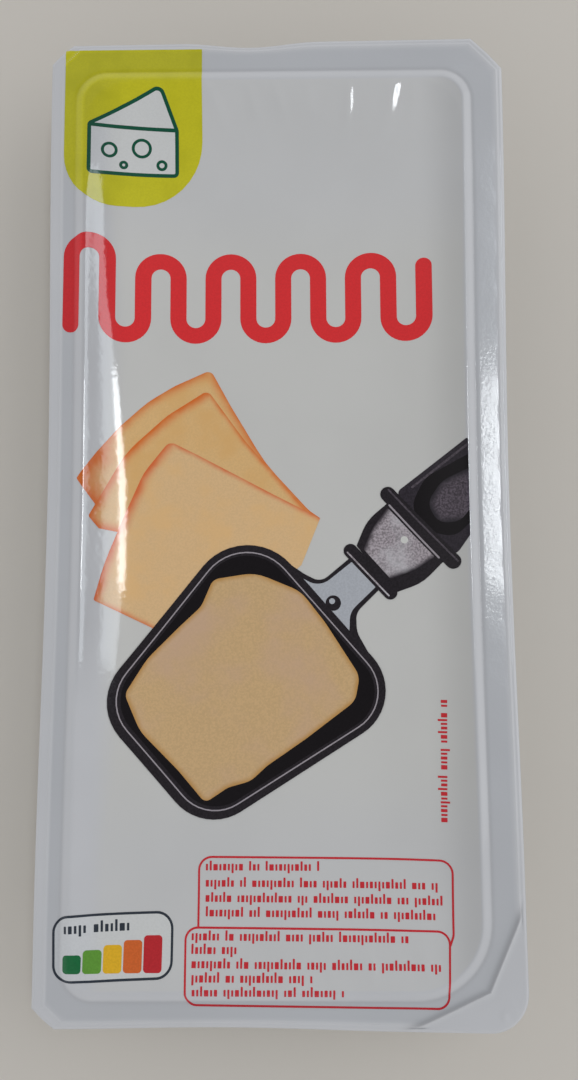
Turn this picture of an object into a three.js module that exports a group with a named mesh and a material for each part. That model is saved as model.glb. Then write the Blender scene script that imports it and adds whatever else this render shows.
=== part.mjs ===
// A sealed pack of sliced raclette cheese, lying flat: a shallow thermoformed tray with a wide flange, and
// the lidding film welded to it, sunk a little onto the slices. It is shut and opaque, so the tray is solid.
// Millimetres, +Z up, +Y towards the pack's top end. The origin is level with its foot, under its middle.

import * as THREE from 'three';

// Flange, cut from the web: a rectangle with three corners cut off and one rounded for peeling
const FLANGE_WIDTH = 122;
const FLANGE_LENGTH = 257.5;
const TOP_RIGHT_CUT = 8.2;
const TOP_LEFT_CUT = 5.8;
const BOTTOM_LEFT_CUT = 5.5;
const PEEL_RADIUS = 9.2;

// How the thin flange has warped: long sides pulled in, ends a little out of square, a dent in each end
const SIDE_BOW = { depth: 1.2, middle: 5, reach: 112 };
const END_SKEW = 0.5;
const TOP_DENT = { depth: 1.4, middle: -7, reach: 19 };
const BOTTOM_DENT = { depth: 0.8, middle: -12, reach: 50 };
const END_WARP_DEPTH = 8;
const CUT_CORNER_CURL = 0.5;
const PEEL_TAB_LIFT = 1.1;

// Weld: an open lip, a bead, a pressed band, then a groove, whose line is the pocket's outline
const LIP_WIDTH = 2;
const LIP_ROLL = 0.7;
const LIP_ROLL_LIFT_SHARE = 0.8;
const BEAD_WIDTH = 0.6;
const POCKET_WIDTH = 107;
const POCKET_LENGTH = 242;
const POCKET_SHIFT = new THREE.Vector2(-0.9, -0.7);
const POCKET_RADIUS = 8.6;
const GROOVE_WIDTH = 0.6;

// The band bends round the peel corner: its outer line to a point, its inner line in a wide curve
const PEEL_BAND_CUT = 27;
const PEEL_APEX = 0.31;
const PEEL_POCKET_RADIUS = 19;

// Heights of the film's top side: absolute for the band, the others above or below the band
const BAND_HEIGHT = 24.3;
const EDGE_DROP = -0.45;
const LIP_DROP = -0.1;
const BEAD_RISE = 0.12;
const GROOVE_DROP = -0.2;
const CREST_RISE = 0.55;
const CREST_INSET = 2.4;
const CREST_WIDTH = 1.2;
const CREST_SHOULDER_SHARE = 0.8;

// How deep the film has sunk onto the slices inside the crest, and how much of that is lost near the ends
const SAG_DEPTH = 5.2;
const SAG_REACH = 25;
const SAG_STEPS = 4;
const SAG_END_LOSS = 0.5;
const SAG_MIDDLE = 8;
const SAG_RUN = 90;

// The first rings of the relief, up to the band's outer line, are the flange's own
const FLANGE_RINGS = 4;

// Thicknesses
const FILM_THICKNESS = 0.3;
const FILM_GAP = 0.3;
const FLANGE_THICKNESS = 0.6;

// Tray below the flange: drafted walls, a rounded foot and a base panel raised above the foot
const WALL_INSET = 2;
const WALL_DRAFT_DEGREES = 6;
const WALL_FILLET = 1.2;
const FOOT_RADIUS = 3;
const FOOT_WIDTH = 3.5;
const PANEL_RAISE = 0.8;
const PANEL_SLOPE = 1.2;

// Points round one ring
const LONG_SIDE_STEPS = 14;
const END_STEPS = 14;
const CORNER_STEPS = 6;

const WHITE_TRAY = new THREE.MeshStandardMaterial({ color: 0xe9eaea, roughness: 0.35, metalness: 0 });
const WHITE_FILM = new THREE.MeshStandardMaterial({ color: 0xf1f2f2, roughness: 0.16, metalness: 0 });

// A ring runs anticlockwise: right side, top right corner, top end, top left corner, left side, bottom left
// corner, bottom end, bottom right corner. Headings are the directions of travel along the four sides.
const HEADINGS = [[0, 1], [-1, 0], [0, -1], [1, 0]].map(([x, y]) => new THREE.Vector2(x, y));
const SIDE_STEPS = [LONG_SIDE_STEPS, END_STEPS, LONG_SIDE_STEPS, END_STEPS];

// A raised cosine: 1 in the middle, easing to 0 at the reach
function hump(distance, reach) {
  return Math.abs(distance) < reach ? 0.5 + 0.5 * Math.cos((Math.PI * distance) / reach) : 0;
}

// The film's full sag at a place along the pack, deepest near its middle
function sagDepth(y) {
  const share = THREE.MathUtils.smoothstep(Math.abs(y - SAG_MIDDLE), 0, SAG_RUN);
  return SAG_DEPTH * (1 - SAG_END_LOSS * share);
}

// Moves a flat point of the square-cut pack to where the warped one has it, at a height
function warped({ x, y }, height) {
  const sideShare = (2 * x) / FLANGE_WIDTH;
  const bow = SIDE_BOW.depth * hump(y - SIDE_BOW.middle, SIDE_BOW.reach) * sideShare * Math.abs(sideShare);
  const fromEnd = FLANGE_LENGTH / 2 - Math.abs(y);
  const endShare = THREE.MathUtils.clamp(1 - fromEnd / END_WARP_DEPTH, 0, 1);
  const dent = y > 0 ? TOP_DENT : BOTTOM_DENT;
  const outward = END_SKEW * sideShare - dent.depth * hump(x - dent.middle, dent.reach);
  return new THREE.Vector3(x - bow, y + Math.sign(y) * endShare * outward, height);
}

function cornerCurve(corner, index, sharp) {
  const start = sharp.clone().addScaledVector(HEADINGS[index], -corner.cut);
  const end = sharp.clone().addScaledVector(HEADINGS[(index + 1) % 4], corner.cut);
  if (corner.shape === 'cut') return new THREE.LineCurve(start, end);
  if (corner.shape === 'round') {
    const centre = start.clone().add(end).sub(sharp);
    const from = (index * Math.PI) / 2;
    return new THREE.EllipseCurve(centre.x, centre.y, corner.cut, corner.cut, from, from + Math.PI / 2);
  }
  const apex = sharp.clone().lerp(start, PEEL_APEX).add(end.clone().sub(sharp).multiplyScalar(PEEL_APEX));
  const bend = new THREE.CurvePath();
  bend.add(new THREE.LineCurve(start, apex));
  bend.add(new THREE.LineCurve(apex, end));
  return bend;
}

// The points of one ring: halves of its rectangle, its centre, its four corners, its height and its share of
// the full sag
function ringPoints({ half, centre, corners, height, sag = 0 }) {
  const placed = (point, lift = 0) => warped(point, height + lift - sag * sagDepth(point.y));
  const sharps = [[1, 1], [-1, 1], [-1, -1], [1, -1]].map(
    ([sx, sy]) => new THREE.Vector2(centre.x + sx * half.x, centre.y + sy * half.y));
  const curves = corners.map((corner, index) => cornerCurve(corner, index, sharps[index]));
  const points = [];
  curves.forEach((curve, index) => {
    const side = new THREE.LineCurve(curves[(index + 3) % 4].getPoint(1), curve.getPoint(0));
    for (let step = 0; step < SIDE_STEPS[index]; step += 1) {
      points.push(placed(side.getPoint(step / SIDE_STEPS[index])));
    }
    for (let step = 0; step < CORNER_STEPS; step += 1) {
      const share = step / CORNER_STEPS;
      points.push(placed(curve.getPoint(share), corners[index].lift * Math.sin(Math.PI * share)));
    }
  });
  return points;
}

// A ring of the flange, at a distance in from the cut edge
function flangeRing(inset, height, peelLift) {
  const shrink = inset * (2 - Math.SQRT2);
  const cut = (size) => ({ shape: 'cut', cut: size - shrink, lift: CUT_CORNER_CURL });
  return {
    half: new THREE.Vector2(FLANGE_WIDTH / 2 - inset, FLANGE_LENGTH / 2 - inset),
    centre: new THREE.Vector2(0, 0),
    corners: [
      cut(TOP_RIGHT_CUT),
      cut(TOP_LEFT_CUT),
      cut(BOTTOM_LEFT_CUT),
      { shape: 'round', cut: PEEL_RADIUS - inset, lift: peelLift },
    ],
    height,
  };
}

// A ring along the outer line of the pressed band, which leaves the peel tab outside it
function bandRing(inset, height) {
  const ring = flangeRing(inset, height, 0);
  ring.corners[3] = { shape: 'apex', cut: PEEL_BAND_CUT, lift: 0 };
  ring.corners.forEach((corner) => { corner.lift = 0; });
  return ring;
}

// A ring parallel to the pocket's outline, at a distance in from it
function pocketRing(inset, height) {
  const round = (radius) => ({ shape: 'round', cut: Math.max(radius - inset, radius / 2), lift: 0 });
  return {
    half: new THREE.Vector2(POCKET_WIDTH / 2 - inset, POCKET_LENGTH / 2 - inset),
    centre: POCKET_SHIFT,
    corners: [round(POCKET_RADIUS), round(POCKET_RADIUS), round(POCKET_RADIUS), round(PEEL_POCKET_RADIUS)],
    height,
  };
}

// The film's relief from its cut edge to the flat middle, seen from above and lowered by a distance
function reliefRings(lowered, peelLift) {
  const level = BAND_HEIGHT - lowered;
  const rings = [
    flangeRing(0, level + EDGE_DROP, peelLift),
    flangeRing(LIP_ROLL, level + LIP_DROP, peelLift * LIP_ROLL_LIFT_SHARE),
    bandRing(LIP_WIDTH, level + BEAD_RISE),
    bandRing(LIP_WIDTH + BEAD_WIDTH, level),
    pocketRing(-GROOVE_WIDTH, level),
    pocketRing(0, level + GROOVE_DROP),
    pocketRing(CREST_INSET - CREST_WIDTH, level + CREST_RISE * CREST_SHOULDER_SHARE),
    pocketRing(CREST_INSET, level + CREST_RISE),
  ];
  for (let step = 1; step <= SAG_STEPS; step += 1) {
    const share = step / SAG_STEPS;
    const ring = pocketRing(CREST_INSET + share * SAG_REACH, level + CREST_RISE);
    rings.push({ ...ring, sag: 1.5 * share - 0.5 * share ** 3 });
  }
  return rings;
}

// The tray's underside from the raised base panel, over the foot and up the wall, to the flange's lower edge
function undersideRings() {
  const draft = Math.tan(THREE.MathUtils.degToRad(WALL_DRAFT_DEGREES));
  const lowered = FILM_THICKNESS + FILM_GAP + FLANGE_THICKNESS;
  const flangeUnderside = BAND_HEIGHT - lowered;
  const wallTop = flangeUnderside - WALL_FILLET;
  const wallInset = (height) => WALL_INSET + (wallTop - height) * draft;
  const footInset = wallInset(0) + FOOT_RADIUS;
  const footBevel = FOOT_RADIUS * (1 - Math.SQRT1_2);
  const rings = [
    pocketRing(footInset + FOOT_WIDTH + PANEL_SLOPE, PANEL_RAISE),
    pocketRing(footInset + FOOT_WIDTH, 0),
    pocketRing(footInset, 0),
    pocketRing(wallInset(footBevel) + footBevel, footBevel),
    pocketRing(wallInset(FOOT_RADIUS), FOOT_RADIUS),
    pocketRing(wallInset(wallTop), wallTop),
    pocketRing(WALL_INSET - WALL_FILLET, flangeUnderside),
  ];
  const flange = reliefRings(lowered, 0).slice(0, FLANGE_RINGS).reverse();
  return rings.concat(flange);
}

// One closed body: rings joined in turn, with a point closing the first ring and the last
function loft(rings, startHeight, endHeight) {
  const loops = rings.map(ringPoints);
  const count = loops[0].length;
  const positions = loops.flat();
  const first = positions.push(new THREE.Vector3(POCKET_SHIFT.x, POCKET_SHIFT.y, startHeight)) - 1;
  const last = positions.push(new THREE.Vector3(POCKET_SHIFT.x, POCKET_SHIFT.y, endHeight)) - 1;
  const lastLoop = (loops.length - 1) * count;
  const faces = [];
  for (let step = 0; step < count; step += 1) {
    const next = (step + 1) % count;
    faces.push([first, next, step]);
    for (let ring = 0; ring + 1 < loops.length; ring += 1) {
      const inner = ring * count;
      const outer = inner + count;
      faces.push([inner + step, inner + next, outer + next], [inner + step, outer + next, outer + step]);
    }
    faces.push([last, lastLoop + step, lastLoop + next]);
  }
  const geometry = new THREE.BufferGeometry().setFromPoints(positions);
  geometry.setIndex(faces.flat());
  geometry.computeVertexNormals();
  return geometry;
}

// The height of the film's flat middle, or of what lies a distance below it
function middleHeight(lowered) {
  return BAND_HEIGHT - lowered + CREST_RISE - sagDepth(POCKET_SHIFT.y);
}

function buildTray() {
  const lowered = FILM_THICKNESS + FILM_GAP;
  const rings = undersideRings().concat(reliefRings(lowered, 0));
  const tray = new THREE.Mesh(loft(rings, PANEL_RAISE, middleHeight(lowered)), WHITE_TRAY);
  tray.name = 'tray';
  return tray;
}

function buildFilm() {
  const underside = reliefRings(FILM_THICKNESS, PEEL_TAB_LIFT).reverse();
  const rings = underside.concat(reliefRings(0, PEEL_TAB_LIFT));
  const film = new THREE.Mesh(loft(rings, middleHeight(FILM_THICKNESS), middleHeight(0)), WHITE_FILM);
  film.name = 'lid_film';
  return film;
}

const pack = new THREE.Group();
pack.add(buildTray(), buildFilm());

export default pack;
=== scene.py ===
"""A sealed pack of sliced raclette cheese: a shallow white tray, its glossy lidding film and its print.

Sizes and places are millimetres in the pack's own frame until a mesh is finished. One relief gives the height
of the film over every point of the pack, and the printed fields are laid on that same relief.
"""

import logging
import math
from collections.abc import Callable
from dataclasses import dataclass, field
from enum import Enum

import bmesh
import bpy
from mathutils import Matrix, Vector


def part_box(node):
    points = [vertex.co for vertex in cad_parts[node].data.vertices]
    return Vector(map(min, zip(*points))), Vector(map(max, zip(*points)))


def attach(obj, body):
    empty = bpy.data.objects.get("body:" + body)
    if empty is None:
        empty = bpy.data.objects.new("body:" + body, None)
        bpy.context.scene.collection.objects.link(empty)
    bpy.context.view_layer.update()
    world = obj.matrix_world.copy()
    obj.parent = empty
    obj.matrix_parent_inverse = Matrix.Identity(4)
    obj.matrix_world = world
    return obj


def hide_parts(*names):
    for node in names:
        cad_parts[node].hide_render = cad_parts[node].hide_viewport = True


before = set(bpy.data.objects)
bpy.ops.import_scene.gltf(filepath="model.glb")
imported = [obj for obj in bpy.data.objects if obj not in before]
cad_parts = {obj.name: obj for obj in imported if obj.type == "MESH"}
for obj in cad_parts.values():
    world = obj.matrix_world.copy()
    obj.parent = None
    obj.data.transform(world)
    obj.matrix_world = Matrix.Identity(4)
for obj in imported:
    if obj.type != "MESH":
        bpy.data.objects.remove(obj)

Point = tuple[float, float]
Place = tuple[float, float, float]
Colour = tuple[float, float, float]

LOG = logging.getLogger("raclette_pack")
MM = 0.001
BODY = "root"
TRAY_NODE = "tray"
FILM_NODE = "lid_film"
# Values stored at the vertices: the pressed weld, the painted shadow and the painted bluish light
TONES = ("weld", "shadow", "bluish_light")

# Points round one ring of the pack: along a long side, along an end and round a corner
LONG_SIDE_STEPS = 150
END_STEPS = 250
CORNER_STEPS = 16

# How much closer the points of a long side lie near the ends: 0 for evenly spaced, 1 for closest
LONG_SIDE_CROWDING = 0.7

# A ring runs anticlockwise, each side ending in its corner: right, top, left, bottom
HEADINGS: tuple[Point, ...] = ((0, 1), (-1, 0), (0, -1), (1, 0))
CORNER_SIGNS: tuple[Point, ...] = ((1, 1), (-1, 1), (-1, -1), (1, -1))
SIDE_STEPS = (LONG_SIDE_STEPS, END_STEPS, LONG_SIDE_STEPS, END_STEPS)
PEEL_CORNER = 3


def linear(red: int, green: int, blue: int) -> Colour:
    """Turn a screen colour into the linear one that shaders read.

    Args:
        red: Red, 0 to 255.
        green: Green, 0 to 255.
        blue: Blue, 0 to 255.

    Returns:
        The linear colour, each part 0 to 1.
    """
    def channel(value: int) -> float:
        """One part of the colour."""
        share = value / 255
        return share / 12.92 if share <= 0.04045 else ((share + 0.055) / 1.055) ** 2.4
    return channel(red), channel(green), channel(blue)


def clamp(value: float) -> float:
    """Keep a share between 0 and 1."""
    return min(max(value, 0.0), 1.0)


def ease(share: float) -> float:
    """A smooth step from 0 to 1."""
    share = clamp(share)
    return share * share * (3 - 2 * share)


def hump(distance: float, reach: float) -> float:
    """A raised cosine: 1 in the middle, easing to 0 at the reach."""
    return 0.5 + 0.5 * math.cos(math.pi * distance / reach) if abs(distance) < reach else 0.0


def bell(distance: float, width: float) -> float:
    """A bell curve of height 1."""
    return math.exp(-((distance / width) ** 2))


def between(start: Point, end: Point, share: float) -> Point:
    """The point at a share of the way from start to end."""
    return start[0] + (end[0] - start[0]) * share, start[1] + (end[1] - start[1]) * share


def crowded(share: float, amount: float) -> float:
    """A share of the way that moves slowly near both ends."""
    return share - amount * math.sin(2 * math.pi * share) / (2 * math.pi)


def stepped(start: Point, direction: Point, distance: float) -> Point:
    """The point a distance away from start in a direction."""
    return start[0] + direction[0] * distance, start[1] + direction[1] * distance


class CornerShape(Enum):
    """How an outline turns at one of its corners."""

    CUT = "cut straight across"
    ROUND = "rounded"
    BEND = "cut across with a bend in the middle"


@dataclass(frozen=True)
class Corner:
    """One corner of an outline.

    The size is the length taken off each side, which for a round corner is its radius. The apex share says
    how far the middle of the cut lies from the sharp corner: a half for a straight cut, less for a bend.
    """

    shape: CornerShape
    size: float
    apex_share: float = 0.5

    def slant(self) -> float:
        """The length of the cut line's unscaled normal."""
        return math.hypot(1 - self.apex_share, self.apex_share)

    def line_depth(self, across: float, along: float) -> float:
        """How far inside the cut lines a point lies.

        Args:
            across: Distance in from the long side.
            along: Distance in from the end.

        Returns:
            The distance in, negative outside.
        """
        share, lost = self.apex_share, self.apex_share * self.size
        first = (1 - share) * across + share * along - lost
        second = share * across + (1 - share) * along - lost
        return min(first, second) / self.slant()

    def depth(self, across: float, along: float) -> float:
        """How far inside the outline a point lies near this corner.

        Args:
            across: Distance in from the long side.
            along: Distance in from the end.

        Returns:
            The distance in, negative outside.
        """
        if self.shape is not CornerShape.ROUND:
            return min(across, along, self.line_depth(across, along))
        if across < self.size and along < self.size:
            return self.size - math.hypot(self.size - across, self.size - along)
        return min(across, along)

    def inset(self, distance: float, room: float) -> "Corner":
        """The same corner of the parallel outline further in.

        Args:
            distance: How much further in.
            room: The largest size that fits.

        Returns:
            The corner.
        """
        if self.shape is CornerShape.ROUND:
            size = max(self.size - distance, self.size / 2)
        else:
            size = self.size - distance * (1 - self.slant()) / self.apex_share
        return Corner(self.shape, min(size, room), self.apex_share)

    def points(self, sharp: Point, heading: Point, turn: Point) -> list[Point]:
        """The points round the corner, from the side that arrives to the side that leaves.

        Args:
            sharp: The corner before it is cut or rounded.
            heading: Direction of the side that arrives.
            turn: Direction of the side that leaves.

        Returns:
            The points, without the last one, which starts the next side.
        """
        start = stepped(sharp, heading, -self.size)
        end = stepped(sharp, turn, self.size)
        shares = [step / CORNER_STEPS for step in range(CORNER_STEPS)]
        if self.shape is CornerShape.ROUND:
            centre = stepped(start, turn, self.size)
            angles = [share * math.pi / 2 for share in shares]
            return [stepped(stepped(centre, turn, -self.size * math.cos(angle)),
                            heading, self.size * math.sin(angle)) for angle in angles]
        reach = self.size * self.apex_share
        apex = stepped(stepped(sharp, heading, -reach), turn, reach)
        return [between(start, apex, 2 * share) if share < 0.5 else between(apex, end, 2 * share - 1)
                for share in shares]


@dataclass(frozen=True)
class Outline:
    """A rectangle with four shaped corners: top right, top left, bottom left, bottom right."""

    half_x: float
    half_y: float
    centre: Point
    corners: tuple[Corner, Corner, Corner, Corner]

    def sides(self, x: float, y: float) -> Point:
        """How far a point lies in from the nearer long side and from the nearer end."""
        return self.half_x - abs(x - self.centre[0]), self.half_y - abs(y - self.centre[1])

    def corner_index(self, x: float, y: float) -> int:
        """Which corner's quarter a point lies in, in the order of the corners."""
        right, top = x >= self.centre[0], y >= self.centre[1]
        return (0 if right else 1) if top else (PEEL_CORNER if right else 2)

    def depth(self, x: float, y: float) -> float:
        """How far inside the outline a point lies, negative outside."""
        return self.corners[self.corner_index(x, y)].depth(*self.sides(x, y))

    def ring(self, inset: float) -> list[Point]:
        """The points of a parallel outline, always as many and in the same order.

        Args:
            inset: How far in it runs.

        Returns:
            The points, anticlockwise.
        """
        half = (max(self.half_x - inset, 0.0), self.half_y - inset)
        corners = [corner.inset(inset, half[0]) for corner in self.corners]
        sharps = [(self.centre[0] + sign[0] * half[0], self.centre[1] + sign[1] * half[1])
                  for sign in CORNER_SIGNS]
        points: list[Point] = []
        for index, corner in enumerate(corners):
            heading, turn = HEADINGS[index], HEADINGS[(index + 1) % 4]
            start = stepped(sharps[index - 1], heading, corners[index - 1].size)
            end = stepped(sharps[index], heading, -corner.size)
            steps = SIDE_STEPS[index]
            crowding = 0 if index % 2 else LONG_SIDE_CROWDING
            points += [between(start, end, crowded(step / steps, crowding)) for step in range(steps)]
            points += corner.points(sharps[index], heading, turn)
        return points


@dataclass(frozen=True)
class Dent:
    """A shallow hollow in an end's edge: its depth, the x of its middle and its reach to each side."""

    depth: float
    middle: float
    reach: float

    def at(self, x: float) -> float:
        """The depth at an x."""
        return self.depth * hump(x - self.middle, self.reach)


@dataclass(frozen=True)
class Warp:
    """How the thin flange has warped out of its square-cut outline."""

    half_x: float
    half_y: float
    side_bow: Dent = Dent(1.2, 5, 112)
    end_skew: float = 0.5
    top_dent: Dent = Dent(1.4, -7, 19)
    bottom_dent: Dent = Dent(0.8, -12, 50)
    end_depth: float = 8
    unplace_rounds: int = 3

    def place(self, x: float, y: float) -> Point:
        """Where the warped pack has a flat point.

        Args:
            x: Across the flat pack.
            y: Along the flat pack.

        Returns:
            The place on the warped pack.
        """
        share = x / self.half_x
        bow = self.side_bow.at(y) * share * abs(share)
        end_share = clamp(1 - (self.half_y - abs(y)) / self.end_depth)
        dent = self.top_dent if y > 0 else self.bottom_dent
        outward = self.end_skew * share - dent.at(x)
        return x - bow, y + math.copysign(end_share, y) * outward

    def unplace(self, x: float, y: float) -> Point:
        """The flat point that the warped pack has at a place.

        Args:
            x: Across the warped pack.
            y: Along the warped pack.

        Returns:
            The point on the flat pack.
        """
        flat_x, flat_y = x, y
        for _ in range(self.unplace_rounds):
            placed_x, placed_y = self.place(flat_x, flat_y)
            flat_x += x - placed_x
            flat_y += y - placed_y
        return flat_x, flat_y


@dataclass(frozen=True)
class Fold:
    """One soft fold of the film, from its steep start to its spread-out end."""

    start: Point
    end: Point
    width: float
    rise: float
    lead: float = 0.6
    spread: float = 0.7
    side_limit: float = 5

    def height(self, x: float, y: float) -> float:
        """The fold's height.

        Args:
            x: Across the flat pack.
            y: Along the flat pack.

        Returns:
            The height above the film without folds.
        """
        run_x, run_y = self.end[0] - self.start[0], self.end[1] - self.start[1]
        length = math.hypot(run_x, run_y)
        off_x, off_y = x - self.start[0], y - self.start[1]
        share = (off_x * run_x + off_y * run_y) / length**2
        off = (off_x * run_y - off_y * run_x) / length
        if not 0 < share < 1 or abs(off) > self.side_limit * self.width:
            return 0.0
        along = math.sin(math.pi * share**self.lead) ** 2
        return self.rise * along * bell(off, self.width * (1 + self.spread * share))


@dataclass(frozen=True)
class Station:
    """How the film sinks beside the long sides at one y: its steepest slope and the steep part's reach."""

    y: float
    slope: float
    reach: float


@dataclass(frozen=True)
class Sag:
    """How the film has sunk inside the crest: steep along the long sides, and gentler towards the ends.

    The stations follow the bright line that a lamp leaves along each long side of the film.
    """

    floor_depth: float = 4.3
    stations: tuple[Station, ...] = (
        Station(87, 0.302, 6.0), Station(75, 0.296, 6.2), Station(62, 0.305, 6.9),
        Station(46, 0.303, 9.1), Station(38, 0.3, 10.6), Station(24, 0.297, 11.8),
        Station(14, 0.293, 14.3), Station(3, 0.291, 15.9), Station(-10, 0.291, 16.4),
        Station(-23, 0.292, 17.0), Station(-33, 0.3, 14.9), Station(-43, 0.3, 12.0),
        Station(-60, 0.3, 9.5), Station(-90, 0.3, 7.0))
    station_width: float = 9.0
    middle: float = -12.0
    slope_loss: float = 0.1
    loss_start: float = 89.0
    loss_run: float = 30.0
    wide_reach: float = 30.0
    end_slope: float = 0.2
    crest_round: float = 0.6
    blend: float = 20.0

    @staticmethod
    def bowl(slope: float, reach: float, inside: float) -> float:
        """The depth where a slope eases to nothing at its reach, two thirds of slope times reach down."""
        share = min(inside / reach, 1)
        return slope * reach * (share - share**3 / 3)

    def side_depth(self, inside: float, y: float) -> float:
        """The depth beside a long side: a steep part near the crest on top of a wide gentle one.

        Args:
            inside: Distance inside the crest.
            y: Place along the pack.

        Returns:
            The depth below the crest.
        """
        shares = [bell(y - station.y, self.station_width) for station in self.stations]
        whole = sum(shares)
        slope = sum(share * station.slope for share, station in zip(shares, self.stations)) / whole
        reach = sum(share * station.reach for share, station in zip(shares, self.stations)) / whole
        slope -= self.slope_loss * ease((abs(y - self.middle) - self.loss_start) / self.loss_run)
        gentle = (1.5 * self.floor_depth - slope * reach) / (self.wide_reach - reach)
        return self.bowl(slope - gentle, reach, inside) + self.bowl(gentle, self.wide_reach, inside)

    def depth(self, inside: float, endwise: float, y: float) -> float:
        """How far the film has sunk.

        Args:
            inside: Distance inside the crest.
            endwise: How much further away the long side is than the end.
            y: Place along the pack.

        Returns:
            The depth below the crest.
        """
        if inside <= 0:
            return 0.0
        soft = math.hypot(inside, self.crest_round) - self.crest_round
        side = self.side_depth(soft, y)
        end = self.bowl(self.end_slope, 1.5 * self.floor_depth / self.end_slope, soft)
        return side + (end - side) * ease(0.5 + endwise / self.blend)


@dataclass(frozen=True)
class Relief:
    """The height of the film's top side over every point of the square-cut pack."""

    half_x: float
    half_y: float
    level: float

    flange: Outline = field(init=False)
    band: Outline = field(init=False)
    pocket: Outline = field(init=False)
    sunk: Sag = Sag()

    # Outlines: the corners, the open lip and the pocket
    cuts: tuple[float, float, float] = (8.2, 5.8, 5.5)
    peel_radius: float = 9.2
    left_lip: float = 3.2
    lip: float = 2.0
    peel_cut: float = 24.3
    peel_apex: float = 0.31
    pocket_half: Point = (53.5, 121.0)
    pocket_centre: Point = (-0.9, -0.7)
    pocket_radius: float = 8.6
    peel_pocket_radius: float = 19.0
    hollow_reach: float = 14.8
    peel_hollow_reach: float = 19.4

    # Section from the cut edge in to the crest
    edge_roll: float = 0.4
    edge_reach: float = 0.9
    lip_drop: float = 0.1
    lip_slope: float = 0.5
    bead_rise: float = 0.14
    bead_place: float = -0.35
    bead_width: float = 0.32
    groove_drop: float = 0.1
    groove_width: float = 0.5
    crest_rise: float = 0.55
    crest_inset: float = 2.4

    # Peel tab, curled corners and drooping bottom end
    tab_lift: float = 0.5
    tab_reach: float = 10.0
    crease_rise: float = 0.34
    crease_lead: float = 1.7
    crease_fall: float = 0.6
    crease_fade: float = 2.4
    corner_curl: float = 0.45
    curl_reach: float = 3.5
    curl_spread: float = 1.3
    droop_line: float = -123.2
    droop_slope: float = 0.08

    # Pressed weld band and its faint ripple
    weld_edge: float = 0.7
    weld_end: float = 0.9
    weld_fade: float = 1.3
    weld_wave: float = 0.006
    weld_pitch: float = 13.0
    weld_slant: float = 0.4

    # Painted soft shadows and painted bluish light, as values that the finishes read
    side_shadow: float = 0.34
    shadow_reach: float = 13.0
    shadow_start: float = 0.8
    shadow_end: float = -55.0
    shadow_run: float = 30.0
    groove_shadow: float = 0.26
    tab_shadow: float = 0.75
    tab_shadow_width: float = 0.95
    bluish_light_edge: float = 1.2
    bluish_light_left: float = 4.0
    bluish_light_ends: float = 0.5
    bluish_light_start: float = 60.0
    bluish_light_run: float = 30.0

    # Small waves, gathers and folds
    swell: float = 0.05
    swell_waves: Point = (64.0, 88.0)
    swell_reach: float = 26.0
    gather_rise: float = 0.025
    gather_pitch: float = 7.4
    gather_slant: float = 0.3
    gather_reach: float = 22.0
    gather_uneven: float = 0.4
    gather_beat: float = 4.7
    fold_start: float = 2.5
    folds: tuple[Fold, ...] = (
        Fold((-44.5, 117.5), (-38.0, 101.0), 1.5, 0.07),
        Fold((-33.5, 118.0), (-25.0, 98.0), 1.6, 0.09),
        Fold((-19.6, 118.4), (-10.0, 96.0), 1.6, 0.15),
        Fold((-8.6, 118.6), (-1.8, 96.0), 1.5, 0.15),
        Fold((-1.4, 119.0), (5.4, 97.0), 1.4, 0.13),
        Fold((7.6, 118.0), (11.6, 101.0), 1.4, 0.08),
        Fold((19.9, 119.0), (18.2, 96.0), 1.1, 0.15),
        Fold((32.4, 119.2), (27.4, 95.0), 1.5, 0.19),
        Fold((37.4, 118.0), (36.2, 98.0), 1.4, 0.08),
        Fold((-6.0, -119.0), (-7.0, -104.0), 1.3, 0.06),
        Fold((2.4, -119.0), (1.0, -103.0), 1.2, 0.08),
        Fold((13.4, -119.2), (10.6, -102.0), 1.2, 0.1),
        Fold((23.9, -119.4), (19.8, -101.0), 1.2, 0.09),
        Fold((37.2, -118.6), (33.2, -102.0), 1.3, 0.12),
    )
    flange_folds: tuple[Fold, ...] = (
        Fold((43.0, 119.7), (60.8, 122.0), 0.7, -0.09, 0.8, 0.0),
        Fold((54.4, -119.6), (58.8, -125.4), 0.9, 0.16, 1.0, 0.0),
        Fold((54.6, -126.4), (55.4, -123.0), 0.9, 0.4, 1.0, 0.0),
    )

    def __post_init__(self) -> None:
        """Work the outlines out from the sizes."""
        cuts = [Corner(CornerShape.CUT, size) for size in self.cuts]
        peel = Corner(CornerShape.ROUND, self.peel_radius)
        bend = Corner(CornerShape.BEND, self.peel_cut, self.peel_apex)
        extra = (self.left_lip - self.lip) / 2
        rounded = Corner(CornerShape.ROUND, self.pocket_radius)
        peel_rounded = Corner(CornerShape.ROUND, self.peel_pocket_radius)
        outlines = {
            "flange": Outline(self.half_x, self.half_y, (0.0, 0.0), (*cuts, peel)),
            "band": Outline(self.half_x - self.lip - extra, self.half_y - self.lip, (extra, 0.0),
                            (*[cut.inset(self.lip, self.half_x) for cut in cuts], bend)),
            "pocket": Outline(*self.pocket_half, self.pocket_centre, (rounded,) * 3 + (peel_rounded,)),
        }
        for name, outline in outlines.items():
            object.__setattr__(self, name, outline)

    def lip_height(self, x: float, y: float) -> float:
        """The open lip: rolled down at the cut edge, with a bead along the band.

        Args:
            x: Across the flat pack.
            y: Along the flat pack.

        Returns:
            The height that the lip adds.
        """
        edge_in = self.flange.depth(x, y)
        band_in = self.band.depth(x, y)
        roll = self.edge_roll * clamp(1 - edge_in / self.edge_reach) ** 2
        drop = self.lip_drop * ease(-band_in / self.lip_slope)
        bead = self.bead_rise * bell(band_in - self.bead_place, self.bead_width)
        return bead - roll - drop

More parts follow.
